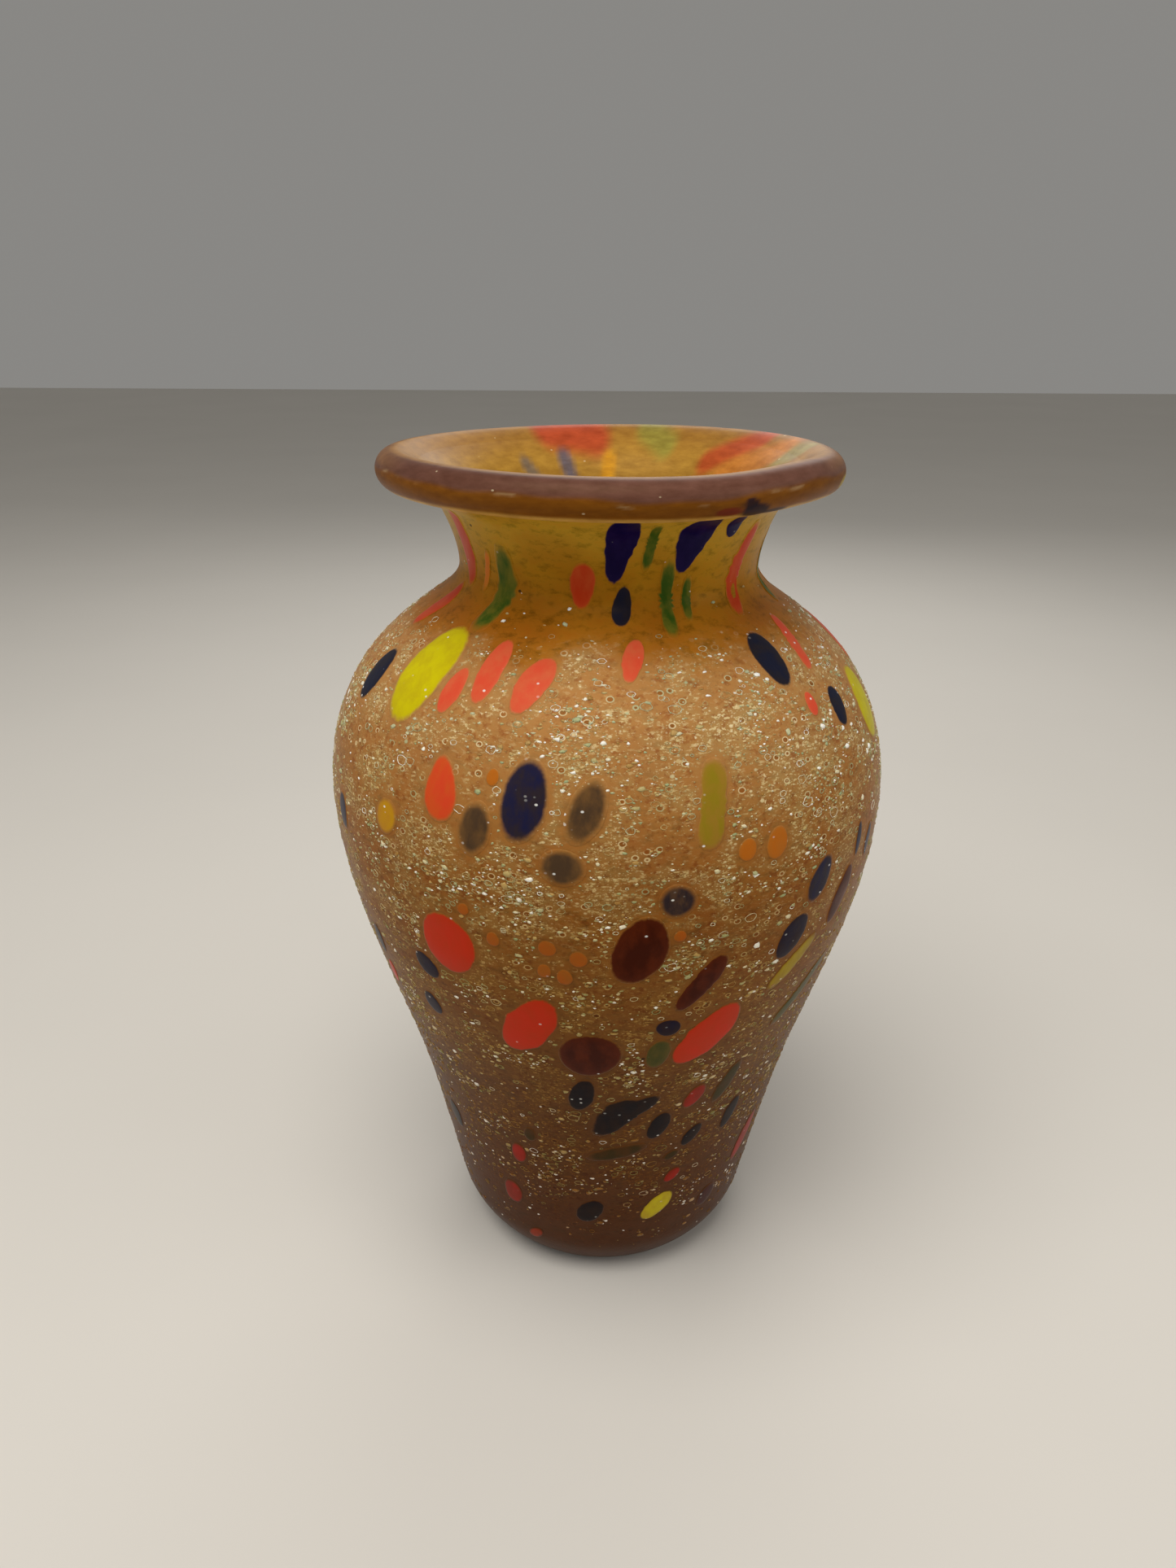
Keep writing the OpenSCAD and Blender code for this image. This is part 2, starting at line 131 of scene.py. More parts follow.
class Graph:
    """Short calls that add nodes to one material and hand back their outputs."""

    def __init__(self, name):
        self.material = bpy.data.materials.new(name)
        self.material.use_nodes = True
        self.tree = self.material.node_tree
        self.shader = self.tree.nodes["Principled BSDF"]

    def add(self, kind, **settings):
        node = self.tree.nodes.new(kind)
        for key, value in settings.items():
            setattr(node, key, value)
        return node

    def plug(self, socket, value):
        if isinstance(value, bpy.types.NodeSocket):
            self.tree.links.new(value, socket)
        else:
            socket.default_value = value

    def math(self, operation, a, b):
        node = self.add("ShaderNodeMath", operation=operation)
        self.plug(node.inputs[0], a)
        self.plug(node.inputs[1], b)
        return node.outputs[0]

    def times(self, first, *others):
        """The product of all the values."""
        for other in others:
            first = self.math("MULTIPLY", first, other)
        return first

    def step(self, value, low, high, out_low=0.0, out_high=1.0):
        """Eases from out_low to out_high while the value goes from low to high."""
        node = self.add("ShaderNodeMapRange", interpolation_type="SMOOTHSTEP")
        self.plug(node.inputs["Value"], value)
        self.plug(node.inputs["From Min"], low)
        self.plug(node.inputs["From Max"], high)
        self.plug(node.inputs["To Min"], out_low)
        self.plug(node.inputs["To Max"], out_high)
        return node.outputs["Result"]

    def mix(self, share, a, b, blend="MIX"):
        node = self.add("ShaderNodeMix", data_type="RGBA", blend_type=blend)
        self.plug(node.inputs["Factor"], share)
        self.plug(node.inputs[6], a)
        self.plug(node.inputs[7], b)
        return node.outputs[2]

    def ramp(self, value, stops):
        node = self.add("ShaderNodeValToRGB")
        elements = node.color_ramp.elements
        while len(elements) < len(stops):
            elements.new(0.5)
        for element, (place, colour) in zip(elements, stops):
            element.position = place
            element.color = colour
        self.plug(node.inputs["Fac"], value)
        return node.outputs["Color"]

    def noise(self, vector, scale, detail=3.0, rough=0.55):
        node = self.add("ShaderNodeTexNoise")
        self.plug(node.inputs["Vector"], vector)
        self.plug(node.inputs["Scale"], scale)
        self.plug(node.inputs["Detail"], detail)
        self.plug(node.inputs["Roughness"], rough)
        return node.outputs["Fac"]

    def cells(self, vector, scale):
        """Distance to the nearest cell's centre, and two random values for that cell."""
        node = self.add("ShaderNodeTexVoronoi")
        self.plug(node.inputs["Vector"], vector)
        self.plug(node.inputs["Scale"], scale)
        parts = self.add("ShaderNodeSeparateColor")
        self.tree.links.new(node.outputs["Color"], parts.inputs[0])
        return node.outputs["Distance"], parts.outputs[0], parts.outputs[1]

    def attribute(self, name, output="Fac"):
        node = self.add("ShaderNodeAttribute", attribute_name=name)
        return node.outputs[output]

    def place(self, stretch=(1, 1, 1)):
        """Object coordinates in metres, stretched."""
        coordinates = self.add("ShaderNodeTexCoord")
        mapping = self.add("ShaderNodeMapping")
        mapping.inputs["Scale"].default_value = stretch
        self.tree.links.new(coordinates.outputs["Object"], mapping.inputs["Vector"])
        return mapping.outputs["Vector"]

    def height(self):
        """Height up the vase, 0 at the foot and 1 at the lip."""
        parts = self.add("ShaderNodeSeparateXYZ")
        self.tree.links.new(self.place((1 / HEIGHT,) * 3), parts.inputs[0])
        return parts.outputs["Z"]

    def finish(self, colour, bump=None, roughness=0.38, strength=0.35, gloss=0.06, inner=0.06):
        """Satin glass: soft gloss, a little light carried under the surface."""
        put = self.shader.inputs
        self.plug(put["Base Color"], colour)
        self.plug(put["Roughness"], roughness)
        put["IOR"].default_value = GLASS_IOR
        put["Specular IOR Level"].default_value = gloss
        put["Specular Tint"].default_value = GLOSS_TINT
        put["Subsurface Weight"].default_value = inner
        put["Subsurface Radius"].default_value = UNDER_SKIN
        put["Subsurface Scale"].default_value = 0.5
        if bump is not None:
            node = self.add("ShaderNodeBump")
            node.inputs["Strength"].default_value = strength
            node.inputs["Distance"].default_value = BUMP_DEPTH
            self.tree.links.new(bump, node.inputs["Height"])
            self.tree.links.new(node.outputs["Normal"], put["Normal"])
        return self.material


# Amber of the glass by height, from the foot to the lip: darker low down, partly the thick glass and partly
# painted shade on the downward-facing lower body; the top stop is a painted highlight under the lip
AMBER_AND_SHADE_STOPS = [
    (0.00, srgb(48, 13, 4)),
    (0.06, srgb(58, 19, 5)),
    (0.16, srgb(68, 29, 7)),
    (0.32, srgb(82, 45, 12)),
    (0.50, srgb(116, 70, 20)),
    (0.66, srgb(146, 92, 30)),
    (0.80, srgb(160, 106, 38)),
    (0.845, srgb(168, 110, 28)),
    (0.90, srgb(178, 132, 26)),
    (0.945, srgb(192, 156, 50)),
]
# Painted shade on the pale glass: what is left of its brightness from the foot up
PALE_SHADE_STOPS = [
    (0.00, srgb(84, 42, 16)),
    (0.12, srgb(116, 70, 32)),
    (0.30, srgb(150, 110, 60)),
    (0.50, srgb(200, 170, 118)),
    (0.70, srgb(244, 236, 218)),
    (0.85, srgb(255, 255, 255)),
]
# Painted shade on the loose crumbs: what is left of their brightness from the foot up
CRUMB_SHADE_STOPS = [
    (0.00, srgb(140, 98, 62)),
    (0.12, srgb(168, 130, 90)),
    (0.30, srgb(200, 172, 128)),
    (0.50, srgb(226, 208, 168)),
    (0.70, srgb(250, 244, 228)),
    (0.85, srgb(255, 255, 255)),
]
CREAM = srgb(232, 218, 178)
CELADON = srgb(172, 188, 152)
CLEAR_ORANGE = srgb(186, 104, 38)
# Colour of the painted sparkle highlights on the chips
SPARKLE_HIGHLIGHT = srgb(232, 232, 226)
MOTTLE_STOPS = [(0.3, srgb(184, 186, 148)), (0.5, srgb(252, 246, 232)), (0.7, srgb(255, 236, 214))]
CRUMB_TONES = [
    (0.0, srgb(160, 120, 62)),
    (0.3, srgb(196, 170, 116)),
    (0.5, srgb(158, 176, 138)),
    (0.75, srgb(226, 218, 188)),
    (0.9, srgb(255, 254, 246)),
]
# Scales of the textures, with about one feature in each 1/scale metres
CLOUDS = 42
MOTTLES = 330
RAGGED_EDGE = 60
CLUMPS = 85
GREEN_CLUMPS = 40
HAZE = 260
SHADES = 520
STREAKS = 760
RINGS = 430
SOOT = 110
# Crumbs painted into the ground: [scale, size in its cell, share shown, strength]
PAINTED_CRUMBS = [(620, 0.30, 0.52, 0.8), (1150, 0.36, 0.45, 0.75), (2000, 0.42, 0.4, 0.6)]
FRIT_TOP = 0.852  # share of the height where the crushed glass ends


def amber_body(g, height, flat):
    """Amber from brown at the foot, partly painted shade, to yellow at the neck with a painted highlight
    under the lip, mottled, with clouds of orange.
    """
    # Painted shade towards the foot and a painted highlight under the lip come with this ramp
    amber = g.ramp(height, AMBER_AND_SHADE_STOPS)
    mottle = g.ramp(g.noise(g.place((1, 1, 2.0)), MOTTLES, 5, 0.7), MOTTLE_STOPS)
    amber = g.mix(0.9, amber, mottle, "MULTIPLY")
    orange = g.mix(0.5, amber, CLEAR_ORANGE, "MULTIPLY")
    cloud = g.noise(flat, CLOUDS, 4)
    return g.mix(g.step(cloud, 0.44, 0.66, 0.0, 0.5), amber, orange), orange


def shoulder_light_veil(g, amber, height, edge):
    """A pale pinkish layer over the shoulder where the frit begins, fading down the belly: partly the
    frit's milky haze, partly painted light on the up-facing shoulder.
    """
    veil = g.times(g.step(edge, FRIT_TOP + 0.01, FRIT_TOP - 0.014), g.step(height, 0.60, 0.82, 0.15, 1.0))
    return g.mix(g.times(veil, 0.5), amber, srgb(184, 140, 90))


def frit_haze(g, amber, height_shade, flat, wide, band, dense):
    """The finest frit: haze where it is dense, darker gaps, and fine pale streaks; the haze and streaks
    darken towards the foot with painted shade.
    """
    haze = g.mix(g.noise(wide, HAZE, 4, 0.7), srgb(138, 98, 44), srgb(192, 172, 118))
    haze = g.mix(1.0, haze, height_shade, "MULTIPLY")
    colour = g.mix(g.times(dense, 0.45), amber, haze)
    shade = g.times(g.step(g.noise(flat, SHADES, 4, 0.7), 0.5, 0.34), band, 0.6)
    colour = g.mix(shade, colour, g.mix(0.8, amber, CLEAR_ORANGE, "MULTIPLY"))
    streak = g.step(g.noise(g.place((1, 1, 2.4)), STREAKS, 4, 0.65), 0.55, 0.62)
    streak = g.times(streak, band, g.math("ADD", 0.35, dense), 0.7)
    return g.mix(streak, colour, g.mix(1.0, srgb(214, 194, 146), height_shade, "MULTIPLY"))


def crumb_dots(g, wide, dense):
    """Painted crumbs of three sizes, thickest where the frit is dense."""
    total = 0.0
    for scale, reach, share, strength in PAINTED_CRUMBS:
        distance, chance, tone = g.cells(wide, scale)
        dot = g.step(distance, reach, reach * 0.45)
        limit = g.math("SUBTRACT", 1.0, g.times(dense, share))
        shown = g.step(chance, limit, g.math("ADD", limit, 0.06))
        dot = g.times(dot, shown, g.step(tone, 0.0, 1.0, strength * 0.5, strength))
        total = g.math("MAXIMUM", total, dot)
    return total


def bubble_rings(g, flat, band):
    """Painted seed bubbles: the ring, and the clear glass inside it."""
    distance, chance, _ = g.cells(flat, RINGS)
    bubble = g.times(g.step(chance, 0.80, 0.84), band)
    ring = g.times(g.step(distance, 0.24, 0.30), g.step(distance, 0.40, 0.33), bubble, 0.75)
    inside = g.times(g.step(distance, 0.30, 0.24), bubble, 0.7)
    return ring, inside


def soot_specks(g, colour, flat):
    distance, chance, _ = g.cells(flat, SOOT)
    soot = g.times(g.step(distance, 0.07, 0.045), g.step(chance, 0.72, 0.74), 0.85)
    return g.mix(soot, colour, srgb(40, 28, 12))


def frit_ground(g, clear):
    """The glass between the chips: amber, crowded with pale crumbs, rings and green clumps."""
    height = g.height()
    flat = g.place((1, 1, 1.3))
    wide = g.place((1, 1, 1.45))
    amber, orange = amber_body(g, height, flat)
    edge = g.math("ADD", height, g.times(g.noise(flat, RAGGED_EDGE, 3), 0.05))
    amber = shoulder_light_veil(g, amber, height, edge)
    band = g.times(g.step(edge, FRIT_TOP + 0.02, FRIT_TOP - 0.02), g.step(height, 0.01, 0.2, 0.2, 1.0))
    band = g.times(band, g.math("SUBTRACT", 1.0, clear))
    dense = g.times(g.step(g.noise(wide, CLUMPS, 5, 0.65), 0.42, 0.60), band)
    # Painted shade: the pale frit, its haze and its streaks darken towards the foot
    height_shade = g.ramp(height, PALE_SHADE_STOPS)
    colour = frit_haze(g, amber, height_shade, flat, wide, band, dense)
    pale = g.mix(g.step(g.noise(wide, GREEN_CLUMPS, 3), 0.48, 0.62), CREAM, CELADON)
    pale = g.mix(1.0, pale, height_shade, "MULTIPLY")
    ring, inside = bubble_rings(g, flat, band)
    colour = g.mix(inside, colour, orange)
    total = g.math("MAXIMUM", crumb_dots(g, wide, dense), ring)
    colour = g.mix(total, colour, pale)
    return soot_specks(g, colour, flat), total


def ground_material():
    g = Graph("speckled_amber_glass")
    colour, pale = frit_ground(g, g.attribute("clear"))
    relief = g.math("ADD", g.times(pale, 0.7), g.noise(g.place(), 900, 2))
    return g.finish(colour, relief, roughness=g.step(pale, 0.0, 1.0, 0.36, 0.5))


def painted_glints(g, colour, spots, size, rare, strength, paint):
    """Painted highlights: small bright spots in some cells of a texture. Without a strength, each has its
    own.
    """
    distance, chance, tone = g.cells(*spots)
    glint = g.times(g.step(distance, size, size / 2), g.step(chance, rare, rare + 0.02))
    if strength is None:
        strength = g.step(tone, 0.0, 1.0, 0.15, 0.9)
    return g.mix(g.times(glint, strength), colour, paint)


def chip_material(name, middle, rim, soft):
    """One colour of chip: cloudy streaks inside, an edge that melts into the glass around it."""
    g = Graph(name)
    ground, _ = frit_ground(g, 0.75)
    grain = g.noise(g.place((1, 1, 0.5)), 320, 4, 0.6)
    body = g.mix(g.step(grain, 0.35, 0.7), middle, rim)
    wander = g.math("SUBTRACT", g.noise(g.place(), 700, 3), 0.5)
    ragged = g.math("ADD", g.attribute("inset"), g.times(wander, 0.14))
    body = g.mix(g.step(ragged, 0.1, 0.55, 0.5, 0.0), body, rim)
    colour = g.mix(g.step(ragged, 0.02, 0.06 + soft), ground, body)
    # Painted highlights: white sparkles of reflected light, more of them on navy and smoky chips
    rare = 0.7 if "navy" in name or "smoky" in name else 0.92
    colour = painted_glints(g, colour, (g.place((1, 1, 1.4)), 560), 0.24, rare, None, SPARKLE_HIGHLIGHT)
    relief = g.noise(g.place(), 600, 3)
    return g.finish(colour, relief, roughness=0.3, strength=0.25, gloss=0.07, inner=0.03)


def painted_material(name, attribute, roughness):
    """Glass whose broad colour is laid along the mesh, with fine cloudy streaks and faint painted glints
    over it.
    """
    g = Graph(name)
    streak = g.noise(g.place((1, 1, 3.0)), 240, 5, 0.6)
    shade = g.ramp(streak, [(0.3, srgb(214, 206, 198)), (0.7, srgb(255, 255, 255))])
    colour = g.mix(1.0, g.attribute(attribute, "Color"), shade, "MULTIPLY")
    # Painted highlights: faint cream glints in some cells
    colour = painted_glints(g, colour, (g.place((1, 1, 1.6)), 360), 0.14, 0.9, 0.4, CREAM)
    return g.finish(colour, streak, roughness, strength=0.2, gloss=0.11, inner=0.0)


def crumb_material():
    """Crushed glass: each crumb keeps its own tone, from white to pale green to tan."""
    g = Graph("crushed_glass")
    tone = g.attribute("tone")
    # Painted shade: crumbs darken towards the foot; the whitest, partly painted sparkle, darken less
    shade_share = g.step(tone, 0.8, 0.95, 1.0, 0.45)
    colour = g.mix(shade_share, g.ramp(tone, CRUMB_TONES), g.ramp(g.height(), CRUMB_SHADE_STOPS), "MULTIPLY")
    stain = g.step(g.noise(g.place(), 1500, 2), 0.4, 0.7, 0.0, 0.25)
    colour = g.mix(stain, colour, srgb(150, 120, 80))
    return g.finish(colour, roughness=0.3, gloss=0.2, inner=0.12)


def floor_material():
    g = Graph("pale_floor")
    tint = g.noise(g.place(), 5, 3)
    colour = g.mix(tint, srgb(212, 208, 201), srgb(219, 215, 208))
    return g.finish(colour, roughness=0.7, gloss=0.1, inner=0.0)


# ---------------------------------------------------------------- shape read from the frame

RING_GRID = 50  # rings are matched on a grid of 1/50 mm
RING_COUNT = 60  # a turned edge has at least this many points on its circle
OUTER_STEPS = 600
HOLLOW_FROM = 5 * MM


def node_points(name):
    mesh = frame["nodes"][name].data
    points = np.empty(len(mesh.vertices) * 3)
    mesh.vertices.foreach_get("co", points)
    return points.reshape(-1, 3)


def rings(name):
    """The circles of a turned node, as (height, radius) pairs on the ring grid."""
    points = node_points(name)
    radius = np.hypot(points[:, 0], points[:, 1])
    pairs = np.round(np.stack([points[:, 2], radius], 1) / MM * RING_GRID).astype(int)
    counts = Counter(map(tuple, pairs))
    return [pair for pair in counts if counts[pair] >= RING_COUNT or pair[1] == 0]


def line_of(name, shared_with, from_z):
    """Profile of a turned node, without rings that it shares with a neighbour or that stick out."""
    taken = {pair for other in shared_with for pair in rings(other)}
    spread = [(a, b) for a in (-1, 0, 1) for b in (-1, 0, 1)]
    own = {}
    for height, radius in rings(name):
        if height < from_z / MM * RING_GRID or any((height + a, radius + b) in taken for a, b in spread):
            continue
        own[height] = max(own.get(height, 0), radius)
    line = np.array(sorted(own.items()), float) * MM / RING_GRID
    around = np.maximum(np.roll(line[:, 1], 1), np.roll(line[:, 1], -1))
    around[[0, -1]] = 1
    return line[line[:, 1] < around + MM]


def smooth_line(line, count):
    """The same line with count points, on a smooth curve through the given ones."""
    steps = np.hypot(*np.diff(line, axis=0).T)
    along = np.concatenate([[0], np.cumsum(steps)])
    slope = np.gradient(line, along, axis=0)
    wanted = np.linspace(0, along[-1], count)
    leg = np.clip(np.searchsorted(along, wanted) - 1, 0, len(along) - 2)
    span = (along[leg + 1] - along[leg])[:, None]
    t = (wanted - along[leg])[:, None] / span
    return (
        line[leg] * (2 * t**3 - 3 * t**2 + 1) + slope[leg] * span * (t**3 - 2 * t**2 + t)
        + line[leg + 1] * (3 * t**2 - 2 * t**3) + slope[leg + 1] * span * (t**3 - t**2)
    )


OUTER = smooth_line(line_of("frit_layer", ["inner_gather"], 0), OUTER_STEPS)
HOLLOW = line_of("inner_gather", ["frit_layer", "lip_bead"], HOLLOW_FROM)
ALONG = np.concatenate([[0], np.cumsum(np.hypot(*np.diff(OUTER, axis=0).T))])
LIP_LOW, LIP_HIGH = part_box("lip_bead")
LIP_R = (LIP_HIGH[2] - LIP_LOW[2]) / 2
LIP_MID = LIP_HIGH[0] - LIP_R
ABOVE_FOOT = OUTER_STEPS // 3  # the throat is the narrowest place above this step
THROAT_Z = OUTER[ABOVE_FOOT + np.argmin(OUTER[ABOVE_FOOT:, 1]), 0]
# Unevenness of the blown wall: [height in mm, waves round it, phase, twist per metre]
WALL_WAVES = [(0.22, 2, 0.6, 0), (0.14, 3, 0, 40), (0.10, 5, 0, -75)]
RIM_RISE = (52, 0.9, 0.34)  # where the rim lifts (degrees), by how much (mm) and how widely (radians)


def radius_at(z):
    return np.interp(z, OUTER[:, 0], OUTER[:, 1])


def along_at(z):
    return np.interp(z, OUTER[:, 0], ALONG)


def height_at(along):
    return np.interp(along, ALONG, OUTER[:, 0])


def ease(value, low, high):
    """0 at low, 1 at high, and a smooth run between them."""
    t = np.clip((value - low) / (high - low), 0, 1)
    return t * t * (3 - 2 * t)


def between(azimuth, other):
    """The angle from other to azimuth, the short way round."""
    return np.angle(np.exp(1j * (azimuth - other)))


def turned(azimuth, radius, z):
    """Points of the hand made form: a turned point, moved by the glass's slight unevenness."""
    body = ease(z, 0.0, 0.03) * ease(z, HEIGHT + 0.01, THROAT_Z)
    uneven = 0
    for size, count, phase, twist in WALL_WAVES:
        uneven = uneven + size * np.sin(count * azimuth + phase + twist * z)
    r = radius + uneven * MM * body * np.minimum(1, radius / 0.02)
    where, rise, wide = RIM_RISE
    turn = between(azimuth, math.radians(where))
    wave = rise * np.exp(-(turn / wide) ** 2) - 0.25 * np.sin(2 * azimuth + 0.4)
    up = z + wave * MM * ease(z, THROAT_Z, HEIGHT)
    return np.stack([r * np.sin(azimuth), -r * np.cos(azimuth), up], -1)


def on_wall(azimuth, z, lift=0.0):
    """Points on the outer wall, or lifted off it along its normal."""
    near = 0.2 * MM
    slope = (radius_at(z + near) - radius_at(z - near)) / (2 * near)
    size = np.sqrt(1 + slope**2)
    return turned(azimuth, radius_at(z) + lift / size, z - lift * slope / size)


# ---------------------------------------------------------------- meshes

def add_piece(name, points, faces, material, slot, *nodes):
    mesh = bpy.data.meshes.new(name)
    mesh.from_pydata(points.tolist() if hasattr(points, "tolist") else points, [], faces)
    mesh.validate()
    mesh.polygons.foreach_set("use_smooth", [True] * len(mesh.polygons))
    mesh.materials.append(material)
    piece = bpy.data.objects.new(name, mesh)
    bpy.context.collection.objects.link(piece)
    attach(piece, "root")
    if nodes:
        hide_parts(*nodes)
    return piece


def set_values(piece, name, values):
    """Gives each point of a piece a value that its material reads."""
    layer = piece.data.attributes.new(name, "FLOAT", "POINT")
    layer.data.foreach_set("value", np.asarray(values, dtype=np.float32))


def set_colours(piece, name, colours):
    layer = piece.data.attributes.new(name, "FLOAT_COLOR", "POINT")
    layer.data.foreach_set("color", np.asarray(colours, dtype=np.float32).ravel())


def spin(profile, columns, loop):
    """Points and faces of a turned form. A profile that isn't a loop starts and ends on the axis."""
    azimuth = np.linspace(0, 2 * np.pi, columns, endpoint=False)
    inner = profile if loop else profile[1:-1]
    az, z = np.meshgrid(azimuth, inner[:, 0])
    r = np.meshgrid(azimuth, inner[:, 1])[1]
    points = turned(az, r, z).reshape(-1, 3)
    rows = len(inner)
    faces = []
    for i in range(rows if loop else rows - 1):
        low = i * columns
        high = (i + 1) % rows * columns
        for j in range(columns):
            k = (j + 1) % columns
            faces.append((low + j, low + k, high + k, high + j))
    if not loop:
        last = (rows - 1) * columns
        ends = [[0, 0, profile[0, 0]], [0, 0, profile[-1, 0]]]
        points = np.concatenate([points, ends])
        first_pole = len(points) - 2
        for j in range(columns):
            k = (j + 1) % columns
            faces.append((first_pole, k, j))
            faces.append((first_pole + 1, last + j, last + k))
    return az.ravel(), z.ravel(), points, faces


# ---------------------------------------------------------------- chips

# Looks of the chips, by colour and band from the neck down: [middle, rim, softness of the edge]
CHIP_LOOKS = {
    "cobalt_neck": (srgb(8, 4, 56), srgb(20, 12, 66), 0.08),
    "green_neck": (srgb(52, 82, 22), srgb(106, 104, 32), 0.34),
    "red_neck": (srgb(186, 56, 22), srgb(190, 74, 34), 0.22),
    "amber_neck": (srgb(206, 112, 30), srgb(196, 120, 40), 0.50),
    "yellow_shoulder": (srgb(196, 184, 8), srgb(184, 166, 14), 0.14),
    "red_shoulder": (srgb(208, 76, 50), srgb(204, 92, 58), 0.12),
    "navy_shoulder": (srgb(24, 28, 48), srgb(36, 32, 38), 0.12),
    "red_belly": (srgb(206, 64, 34), srgb(200, 78, 32), 0.20),
    "navy_belly": (srgb(26, 28, 60), srgb(44, 36, 42), 0.26),
    "smoky_belly": (srgb(72, 54, 38), srgb(104, 74, 42), 0.46),
    "olive_belly": (srgb(138, 118, 26), srgb(150, 114, 38), 0.22),
    "ochre_belly": (srgb(184, 134, 16), srgb(178, 122, 30), 0.40),
    "amber_belly": (srgb(178, 98, 24), srgb(170, 100, 32), 0.16),
    "red_waist": (srgb(188, 42, 14), srgb(180, 46, 14), 0.08),
    "navy_waist": (srgb(18, 14, 40), srgb(34, 20, 28), 0.12),
    "aubergine_waist": (srgb(58, 14, 4), srgb(82, 28, 8), 0.10),
    "smoky_waist": (srgb(40, 32, 38), srgb(84, 60, 42), 0.40),
    "green_waist": (srgb(60, 62, 24), srgb(84, 72, 28), 0.22),
    "yellow_waist": (srgb(160, 136, 14), srgb(142, 110, 22), 0.22),
    "amber_waist": (srgb(160, 80, 20), srgb(150, 84, 26), 0.14),
    "navy_foot": (srgb(16, 12, 20), srgb(32, 18, 16), 0.14),
    "red_foot": (srgb(150, 26, 12), srgb(124, 30, 12), 0.30),
    "green_foot": (srgb(50, 44, 8), srgb(66, 42, 12), 0.24),
    "olive_foot": (srgb(52, 38, 8), srgb(70, 42, 12), 0.40),
    "yellow_foot": (srgb(188, 170, 22), srgb(170, 142, 34), 0.12),
    "purple_foot": (srgb(42, 12, 16), srgb(64, 20, 14), 0.40),
    "orange_foot": (srgb(150, 46, 12), srgb(112, 36, 12), 0.40),
}
OUTLINE_STEPS = 44
OUTLINE_WAVES = 9  # the outline keeps this many waves, which rounds its corners off
SAME_POINT = 0.002 * MM
FACE_DEPTH = 0.12 * MM  # points nearer to the wall's face than this are on the chip's face


def islands(name):
    """The separate solids of a node, as lists of points."""
    points = node_points(name)
    keys, index = np.unique(np.round(points / SAME_POINT).astype(int), axis=0, return_inverse=True)
    index = index.ravel()
    parent = list(range(len(keys)))

    def root(i):
        while parent[i] != i:
            parent[i] = parent[parent[i]]
            i = parent[i]
        return i

    for polygon in frame["nodes"][name].data.polygons:
        corners = [root(index[v]) for v in polygon.vertices]
        for corner in corners[1:]:
            parent[root(corner)] = root(corners[0])
    groups = {}
    for vertex, key in enumerate(index):
        groups.setdefault(root(key), []).append(vertex)
    return [points[members] for members in sorted(groups.values())]


def hull(points):
    """Corners of the convex outline of flat points."""
    ordered = sorted(set(map(tuple, np.round(points, 7))))

    def half(run):
        kept = []
        for p in run:
            while len(kept) > 1:
                (ax, ay), (bx, by) = kept[-2], kept[-1]
                if (bx - ax) * (p[1] - ay) - (by - ay) * (p[0] - ax) > 0:
                    break
                kept.pop()
            kept.append(p)
        return kept[:-1]

    return np.array(half(ordered) + half(ordered[::-1]))


class Chip:
    """One chip's place and outline on the unrolled wall, read from its CAD solid."""

    def __init__(self, points, node):
        self.node = node
        radius = np.hypot(points[:, 0], points[:, 1])
        face = points[radius > radius_at(points[:, 2]) - FACE_DEPTH]
        azimuth = np.arctan2(face[:, 0], -face[:, 1])
        middle = np.angle(np.mean(np.exp(1j * azimuth)))
        turn = between(azimuth, middle)
        along = along_at(face[:, 2])
        self.along = (along.min() + along.max()) / 2
        self.radius = radius_at(height_at(self.along))
        corners = hull(np.stack([turn * self.radius, along - self.along], 1))
        shift = (corners.min(0) + corners.max(0)) / 2
        corners = corners - shift
        self.along += shift[1]
        self.azimuth = middle + shift[0] / self.radius
        self.reach = self.measure(corners)

    @staticmethod
    def measure(corners):
        """Distance from the middle to the outline at each step round it, rounded off."""
        angles = np.linspace(0, 2 * np.pi, OUTLINE_STEPS, endpoint=False)
        reach = np.full(OUTLINE_STEPS, 1.0)
        following = np.roll(corners, -1, axis=0)
        for i, angle in enumerate(angles):
            ray = np.array([math.cos(angle), math.sin(angle)])
            edge = following - corners
            across = edge[:, 1] * ray[0] - edge[:, 0] * ray[1]
            across[np.abs(across) < 1e-12] = 1e-12
            share = (corners[:, 0] * ray[1] - corners[:, 1] * ray[0]) / across
            spot = corners + share[:, None] * edge
            good = (share >= -1e-6) & (share <= 1 + 1e-6) & (spot @ ray > 0)
            reach[i] = (spot[good] @ ray).max()
        spectrum = np.fft.rfft(reach)
        spectrum[OUTLINE_WAVES:] = 0
        smooth = np.fft.irfft(spectrum, OUTLINE_STEPS)
        first, second = corners[0] * (9000, 7000)  # each chip's own phases
        return smooth * (1 + 0.03 * np.sin(2 * angles + first) + 0.02 * np.sin(3 * angles + second))

    def distance(self, azimuth, along):
        """How far points of the unrolled wall lie outside this chip's edge."""
        x = between(azimuth, self.azimuth) * self.radius
        y = along - self.along
        angle = np.arctan2(y, x) % (2 * np.pi)
        step = np.linspace(0, 2 * np.pi, OUTLINE_STEPS + 1)
        return np.hypot(x, y) - np.interp(angle, step, np.append(self.reach, self.reach[0]))

    def look(self):
        """Its middle colour, rim colour and softness of edge."""
        colour, band = self.node.split("_chips_")
        return CHIP_LOOKS[colour + "_" + band]


CHIPS = [Chip(points, name) for name in CHIP_NODES for points in islands(name)]

CHIP_TOP = 0.18
CHIP_BACK = -1.1
